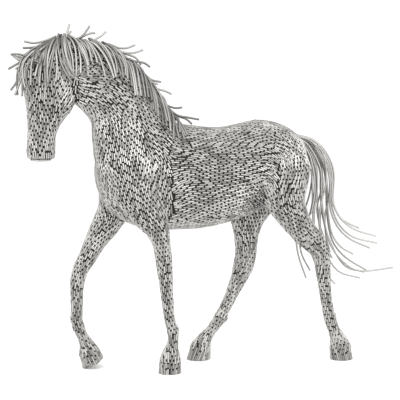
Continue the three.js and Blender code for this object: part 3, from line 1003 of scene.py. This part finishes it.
def long_pipe_tree(material):
    group, given = new_tree("bend long pipes", Diameter=HAIR_PIPE, Sides=HAIR_SIDES,
                            Bore=BORE_SHARE, Bore_depth=BORE_DEPTH)
    line = add(group, "GeometryNodeMeshToCurve", Mesh=given["Geometry"])
    circle = ring(group, given["Diameter"], given["Sides"])
    sweep = add(group, "GeometryNodeCurveToMesh", Curve=line, Profile_Curve=circle, Fill_Caps=True)
    corners = add(group, "GeometryNodeInputMeshFaceNeighbors")
    more = {"data_type": "INT", "operation": "GREATER_THAN"}
    ends = add(group, "FunctionNodeCompare", more, A=corners, B=MOST_SIDES)
    lip = add(group, "GeometryNodeExtrudeMesh", Mesh=sweep, Selection=ends, Offset_Scale=0)
    top = lip.outputs["Top"]
    inset = add(group, "GeometryNodeScaleElements", Geometry=lip, Selection=top, Scale=given["Bore"])
    down = maths(group, "MULTIPLY", given["Bore depth"], -1)
    bore = add(group, "GeometryNodeExtrudeMesh", Mesh=inset, Selection=top, Offset_Scale=down)
    return end_tree(group, crisp_rims(group, bore), material)


long_pipes = long_pipe_tree(hair_steel)
print("tree", long_pipes.name, len(long_pipes.nodes), "nodes")

# %% [markdown]
# A bent pipe is drawn with three to ten points. A smooth line runs through them, and all lines of
# a bundle become one mesh of edges, which the tree can run over at once.

# %% Lines of points for the long pipes
def catmull_rom(points, per_span=4):
    """A smooth line through a few points."""
    padded = [2 * points[0] - points[1], *points, 2 * points[-1] - points[-2]]
    line = []
    for a, b, c, d in zip(padded, padded[1:], padded[2:], padded[3:]):
        for i in range(per_span):
            t = i / per_span
            line.append(0.5 * (2 * b + (c - a) * t + (2 * a - 5 * b + 4 * c - d) * t ** 2
                               + (3 * b - a - 3 * c + d) * t ** 3))
    return [*line, points[-1]]


def line_mesh(lines):
    """Open lines as one mesh of edges, with a tone for each line."""
    mesh = bpy.data.meshes.new("pipe_lines")
    points = [p for line in lines for p in line]
    edges, start = [], 0
    for line in lines:
        edges += [(start + i, start + i + 1) for i in range(len(line) - 1)]
        start += len(line)
    mesh.from_pydata(points, edges, [])
    tones = []
    for line in lines:
        tones += [random.random()] * len(line)
    store(mesh, "tone", "FLOAT", tones)
    return mesh


three = [Vector((x, 0, 0)) for x in range(3)]
print("a line through", len(three), "points has", len(catmull_rom(three)))

# %% [markdown]
# Most of the hair lies on the skin. A line is set onto it with a little height, mirrored to the
# far side, and shaken at random, because pipes that are bent by hand are never quite alike.

# %% Lay a pipe over the skin
HAIR_EASE = 3
LIFT_RISE = 3


def laid(points, lift, tip_lift, pile=0.0):
    """A smooth line over the skin, piled up at its root and lifted a little towards its tip."""
    path = catmull_rom(points)
    line = []
    for i, point in enumerate(path):
        share = i / (len(path) - 1)
        place, normal, _, _ = outer_tree.find_nearest(point)
        height = HAIR_PIPE / 2 + pile * (1 - share) ** 2
        height = height + lift * min(1, LIFT_RISE * share) + tip_lift * share ** 2
        line.append(place + normal * height)
    for _ in range(HAIR_EASE):
        line[1:-1] = [(a + 2 * b + c) / 4 for a, b, c in zip(line, line[1:], line[2:])]
    return line


def mirrored(points):
    return [Vector((p.x, -p.y, p.z)) for p in points]


def between(strands, count):
    """Strands of places, the given ones and a number more between each two neighbours."""
    result = []
    for a, b in zip(strands, strands[1:]):
        for k in range(count):
            share = k / count
            result.append([p.lerp(q, share) for p, q in zip(a, b)])
    return [*result, strands[-1]]


def shaken(points, root, tip):
    """The same strand, moved at random by up to root at its start and up to tip at its end."""
    shift_root = Vector([random.uniform(-root, root) for _ in range(3)])
    shift_tip = Vector([random.uniform(-tip, tip) for _ in range(3)])
    return [p + shift_root.lerp(shift_tip, i / (len(points) - 1)) for i, p in enumerate(points)]


print("a hair's centre line lies", HAIR_PIPE / 2, "m above the skin at least")

# %% [markdown]
# ## The mane
# The mane's pipes are rooted along the crest and fall to both sides, close to the neck. Each starts
# out along the crest and bends down to its tip. Some twenty pipes are read off the picture, the
# others lie between two of those, and the far side is the near side's mirror image. A few strays
# stand off above the crest.

# %% Bend the mane
MANE_STRANDS = [
    [(60, 37), (59, 50), (62, 65), (69, 75)],
    [(64, 37), (64, 48), (66, 60), (69, 71)],
    [(67, 37), (73, 48), (79, 59), (80, 73)],
    [(71, 37), (78, 48), (83, 61), (85, 75)],
    [(76, 37), (83, 47), (88, 58), (91, 66)],
    [(80, 38), (86, 46), (90, 54), (92, 60)],
    [(84, 38), (92, 48), (101, 60), (107, 78)],
    [(90, 40), (98, 50), (105, 61), (110, 77)],
    [(97, 42), (106, 52), (112, 64), (115, 77)],
    [(102, 44), (112, 54), (118, 66), (120, 78)],
    [(108, 47), (118, 57), (124, 68), (126, 82)],
    [(114, 51), (124, 60), (130, 73), (133, 97)],
    [(121, 56), (130, 65), (134, 77), (136, 96)],
    [(127, 60), (135, 70), (140, 83), (142, 102)],
    [(133, 65), (141, 77), (146, 91), (148, 108)],
    [(139, 71), (147, 83), (153, 97), (157, 118)],
    [(145, 79), (152, 90), (159, 104), (164, 130)],
    [(151, 87), (158, 98), (165, 114), (171, 142)],
    [(157, 95), (164, 107), (170, 121), (175, 142)],
    [(163, 104), (170, 115), (176, 127), (180, 140)],
    [(169, 111), (175, 119), (180, 128), (184, 138)],
]
STRANDS_BETWEEN = 3
MANE_LIFTS = (0.0, 0.004, 0.01, 0.017)
MANE_TIP_LIFT = 0.01
MANE_PILES = (0.002, 0.022)
MANE_SHAKE = (0.008, 0.026)
MANE_LENGTHS = (0.6, 1.12)
MANE_STRAYS = [
    [(65, 42), (67, 33), (69.5, 24)],
    [(66, 42), (68, 35), (71, 31)],
    [(72, 42), (82, 36), (87, 30), (89.5, 26)],
    [(74, 42), (82, 37), (90, 33.5), (95, 33)],
    [(86, 46), (94, 40), (101, 36), (106, 31.5)],
    [(98, 45), (108, 44), (119, 48), (127, 48), (135, 45)],
    [(104, 48), (112, 47), (122, 52), (133, 53), (143, 50)],
    [(110, 52), (117, 51), (126, 54), (136, 58), (141, 65)],
    [(120, 55), (134, 61), (144, 63), (150, 67)],
    [(132, 65), (144, 74), (152, 80), (161, 82)],
    [(140, 72), (147, 79), (154, 83), (158, 84)],
    [(146, 79), (156, 88), (165, 91), (171.5, 94)],
    [(150, 85), (158, 93), (164, 98), (167, 106)],
    [(157, 95), (167, 105), (175, 108), (182, 107.5)],
    [(166, 106), (177, 115), (188, 117.5), (199, 119.5)],
    [(168, 109), (178, 116), (186, 119), (192, 124)],
]
STRAY_PLANE = -0.012


def mane_lines():
    lines = []
    strands = between([[on_skin(u, v) for u, v in strand] for strand in MANE_STRANDS], STRANDS_BETWEEN)
    for side in (list, mirrored):
        for i, strand in enumerate(strands):
            points = shaken(side(strand), *MANE_SHAKE)
            points[-1] = points[-2].lerp(points[-1], random.uniform(*MANE_LENGTHS))
            pile = random.uniform(*MANE_PILES)
            lines.append(laid(points, MANE_LIFTS[i % 4], random.uniform(0.0, MANE_TIP_LIFT), pile))
    for i, stray in enumerate(MANE_STRAYS):
        plane = STRAY_PLANE * (-1) ** i
        lines.append(catmull_rom([in_plane(u, v, plane) for u, v in stray]))
    return lines


mane = baked("mane_pipes", line_mesh(mane_lines()), long_pipes)

# %% [markdown]
# ## The forelock
# The forelock's pipes start round the poll. Most hang down over the face and the cheeks, a few
# stand out in front, so the head has the shaggy outline of a pony, and four stand off to the side
# over the near ear.

# %% Bend the forelock
FORELOCK_STRANDS = [
    [(54, 38), (40, 49), (28, 57), (22, 66)],
    [(55, 38), (42, 50), (25, 63), (23, 82)],
    [(55, 38), (42, 52), (25, 70), (33, 99)],
    [(56, 38), (43, 53), (30, 68), (34, 97)],
    [(56, 38), (46, 50), (38, 60), (34, 76)],
    [(57, 38), (47, 49), (43, 62), (41, 84)],
    [(58, 38), (49, 48), (44, 60), (46, 78)],
    [(58, 38), (53, 50), (49, 64), (46, 95)],
    [(59, 38), (55, 50), (54, 64), (50, 84)],
    [(60, 38), (56, 50), (58, 64), (57, 78)],
    [(61, 38), (57, 52), (60, 68), (68, 79)],
    [(63, 38), (62, 52), (68, 72), (80, 80)],
]
FORELOCK_STRAYS = [
    ([(56, 36), (44, 41), (34, 43), (24.5, 41.5)], -0.02),
    ([(54, 38), (43, 45), (33, 47.5), (23, 48)], -0.01),
    ([(52, 40), (40, 45), (31, 50), (25, 56)], -0.03),
    ([(50, 42), (38, 52), (24, 60), (8.5, 69)], 0.13),
    ([(48, 44), (36, 54), (25, 62), (15, 69)], 0.03),
    ([(22, 64), (20, 74), (16, 83), (11, 90)], 0.1),
    ([(25, 62), (22, 76), (18.5, 86), (15, 95)], -0.02),
    ([(26, 64), (23, 78), (22, 88), (22, 96)], -0.04),
    ([(56, 38), (47, 42), (38, 48), (31, 57)], -0.13),
    ([(56, 39), (46, 44), (38, 51), (35, 60)], -0.13),
    ([(57, 39), (48, 46), (42, 54), (39, 64)], -0.13),
    ([(57, 40), (51, 47), (46, 55), (44, 66)], -0.13),
]
FORELOCK_BETWEEN = 2
FORELOCK_SHAKE = (0.006, 0.018)
FORELOCK_TIP_LIFT = 0.012
FORELOCK_LIFTS = (0.002, 0.01, 0.005, 0.014)
FORELOCK_SHARE = 0.7


def forelock_lines():
    lines = []
    read = [[on_skin(u, v) for u, v in strand] for strand in FORELOCK_STRANDS]
    strands = between(read, FORELOCK_BETWEEN)
    for side in (list, mirrored):
        for i, strand in enumerate(strands):
            if random.random() < FORELOCK_SHARE:
                points = shaken(side(strand), *FORELOCK_SHAKE)
                tip_lift = random.uniform(0, FORELOCK_TIP_LIFT)
                lines.append(laid(points, FORELOCK_LIFTS[i % 4], tip_lift))
    for stray, plane in FORELOCK_STRAYS:
        last = len(stray) - 1
        lines.append(catmull_rom([in_plane(u, v, plane * i / last) for i, (u, v) in enumerate(stray)]))
    return lines


forelock = baked("forelock_pipes", line_mesh(forelock_lines()), long_pipes)

# %% [markdown]
# ## Ears
# Each ear is a bundle of thin pipes that run from its root round its form, with loose ends of
# unequal length. The near ear lies out to the side under the forelock, and the far one is pricked
# forward.

# %% Bundle the ears
EAR_PIPE = 0.008
EAR_PIPES = 10
EAR_SHARES = (-0.15, 0.1, 0.35, 0.6, 0.85)
EAR_WIDE = 0.03
EAR_LOOSE = 0.16
EAR_TAPER = 1.1
EAR_SUNK = (0.2, 0.8)


def ear_lines(root, tip):
    axis = tip - root
    across = axis.cross(Vector((0, 0, 1))).normalized()
    upright = axis.cross(across).normalized()
    lines = []
    for i in range(EAR_PIPES):
        angle = 2 * math.pi * i / EAR_PIPES
        spoke = (across * math.cos(angle) + upright * math.sin(angle)) * EAR_WIDE
        line = []
        stretch = random.uniform(1 - EAR_LOOSE, 1 + EAR_LOOSE)
        for share in EAR_SHARES:
            near = root + axis * share * stretch + spoke * (EAR_TAPER - share)
            place, normal, _, _ = eared_tree.find_nearest(near)
            line.append(place - normal * EAR_PIPE * random.uniform(*EAR_SUNK))
        lines.append(catmull_rom(line, per_span=3))
    return lines


both_ears = [line for ear in EARS.values() for line in ear_lines(*ear)]
ears = baked("ear_pipes", line_mesh(both_ears), long_pipes, Diameter=EAR_PIPE)

# %% [markdown]
# ## Brows
# Over each eye hollow two bent pipes make the brow, and the hollow between them stays dark.

# %% Bend the brows
BROW_LIFT = 0.004
BROWS = [
    [(31.5, 66), (33.5, 61.5), (37, 60.5), (40.5, 63), (41.5, 68)],
    [(29.5, 65), (32, 60), (37, 58.5), (42, 61), (43.5, 67)],
]
brow_places = [[on_skin(u, v) for u, v in brow] for brow in BROWS]
brow_lines = [laid(side(brow), BROW_LIFT, 0.0) for brow in brow_places for side in (list, mirrored)]
brows = baked("brow_pipes", line_mesh(brow_lines), long_pipes)

# %% [markdown]
# ## The tail
# The tail is twenty long pipes that leave the croup together, arch out, drop and sweep back, and
# spread into single tips. They are read off the picture too, each on its own upright plane, so
# that the tail is as wide as it is deep.

# %% Bend the tail
TAIL_STRANDS = [
    [(293, 134), (312, 139), (323, 148), (331, 162), (334, 177), (333, 200), (339, 216), (348, 223),
     (359, 228)],
    [(292, 135), (311, 139), (322, 149), (330, 164), (332.5, 180), (332, 200), (341, 219), (356, 230),
     (376, 236)],
    [(293, 135), (310, 140), (320, 150), (328.5, 166), (330.5, 182), (331, 202), (338, 223), (353, 237),
     (377, 243)],
    [(292, 136), (309, 140), (319, 151), (327.5, 168), (330, 185), (330, 207), (337, 226), (350, 239),
     (370, 248)],
    [(294, 136), (308, 141), (317, 152), (325, 168), (327, 188), (328, 212), (332, 234), (341, 247),
     (353, 254)],
    [(293, 137), (307, 142), (316, 154), (324, 170), (326, 190), (327, 214), (332, 240), (345, 257),
     (366, 270)],
    [(294, 137), (306, 143), (315, 156), (321, 172), (321.5, 192), (324, 218), (331, 246), (347, 265),
     (364, 271), (393, 267.5)],
    [(295, 138), (306, 143), (314, 156), (320, 172), (320.5, 192), (323, 218), (331, 244), (345, 266),
     (364, 272)],
    [(295, 138), (305, 143), (313, 156), (317, 172), (317, 194), (319, 220), (325, 250), (338, 271),
     (360, 278)],
    [(294, 139), (304, 144), (311, 156), (315, 172), (315.5, 194), (314, 220), (316, 250), (325, 272),
     (335, 284)],
    [(296, 139), (304, 146), (309, 158), (312, 174), (310, 192), (306, 206)],
    [(296, 140), (305, 147), (311, 160), (314, 176), (314.5, 194), (311, 214)],
    [(295, 140), (302, 148), (306, 162), (307, 180), (303, 204), (299, 226), (301, 252), (310, 270.5)],
    [(296, 141), (301, 148), (304, 162), (304, 182), (300, 206), (296, 230), (298, 254), (306, 278)],
    [(292, 134), (311, 141), (322, 152), (326, 168), (325.5, 186), (321, 204), (319, 222), (322, 238)],
    [(293, 136), (308, 143), (318, 156), (322, 172), (321, 190), (317, 208), (320, 226), (325, 240)],
    [(294, 138), (306, 145), (313, 160), (317, 176), (316.5, 196), (313, 214), (315, 232), (319, 246)],
    [(295, 136), (313, 144), (324, 158), (329.5, 176), (329, 196), (325, 216), (326, 236), (330, 252)],
    [(296, 137), (310, 146), (318, 160), (322.5, 178), (322, 200), (320, 224), (325, 244), (332, 258)],
    [(297, 140), (307, 150), (311, 164), (312, 182), (312.5, 202), (309, 218), (308, 230)],
]
TAIL_ROOT_WIDE = 0.018
TAIL_TIP_WIDE = 0.06
SIDE_TURN = 2.4


def tail_line(order, strand):
    """One pipe of the tail, from its root in the croup to its tip."""
    side = -math.sin(order * SIDE_TURN)
    line = []
    for i, (u, v) in enumerate(strand):
        wide = TAIL_ROOT_WIDE + (TAIL_TIP_WIDE - TAIL_ROOT_WIDE) * i / (len(strand) - 1)
        line.append(in_plane(u, v, side * wide))
    return catmull_rom(line)


tail_lines = [tail_line(order, strand) for order, strand in enumerate(TAIL_STRANDS)]
tail = baked("tail_pipes", line_mesh(tail_lines), long_pipe_tree(tail_steel), Diameter=TAIL_PIPE)

# %% [markdown]
# The frame has one bent pipe for each few real ones. Each bundle takes the place of all the
# frame's pipes of its kind.

# %% Put the hair in place of the frame's
HAIR = (
    (mane, "mane_pipe", "mane_steel"),
    (forelock, "forelock_pipe", "mane_steel"),
    (tail, "tail_pipe", "tail_steel"),
)
for piece, start, slot in HAIR:
    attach(piece, "root")
    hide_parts(*[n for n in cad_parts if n.startswith(start)])
for piece in (ears, brows):
    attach(piece, "root")

# %% [markdown]
# ## Floor and light
# The photograph has a plain white ground and soft light from all round, brighter from above. A
# pale floor, a pale sky and two large soft lights give that.

# %% Floor and light
FLOOR_SIZE = 60
PALE = (0.9, 0.9, 0.9, 1)
SKY = 1.12
LOOKED_AT = Vector((0, 0, 0.9))

bpy.ops.mesh.primitive_plane_add(size=FLOOR_SIZE)
floor = bpy.context.object
floor.name = "floor"
paint, paint_tree, paint_shader = new_material("floor_paint")
plug(paint_tree, paint_shader, Base_Color=PALE, Roughness=0.9)
floor.data.materials.append(paint)

world = bpy.data.worlds.new("studio")
bpy.context.scene.world = world
world.use_nodes = True
plug(world.node_tree, world.node_tree.nodes["Background"], Color=(1, 1, 1, 1), Strength=SKY)


def soft_light(name, place, size, power):
    light = bpy.data.lights.new(name, "AREA")
    light.energy = power
    light.size = size
    lamp = linked(name, light)
    lamp.location = place
    lamp.rotation_mode = "QUATERNION"
    lamp.rotation_quaternion = (LOOKED_AT - Vector(place)).to_track_quat("-Z", "Y")
    print(name, "light", size, "m wide", power, "W")


soft_light("key", (-2.8, -3.2, 4.2), size=5.5, power=340)
soft_light("fill", (3.5, -3.0, 3.0), size=2.5, power=140)
bpy.context.scene.view_settings.view_transform = "Standard"
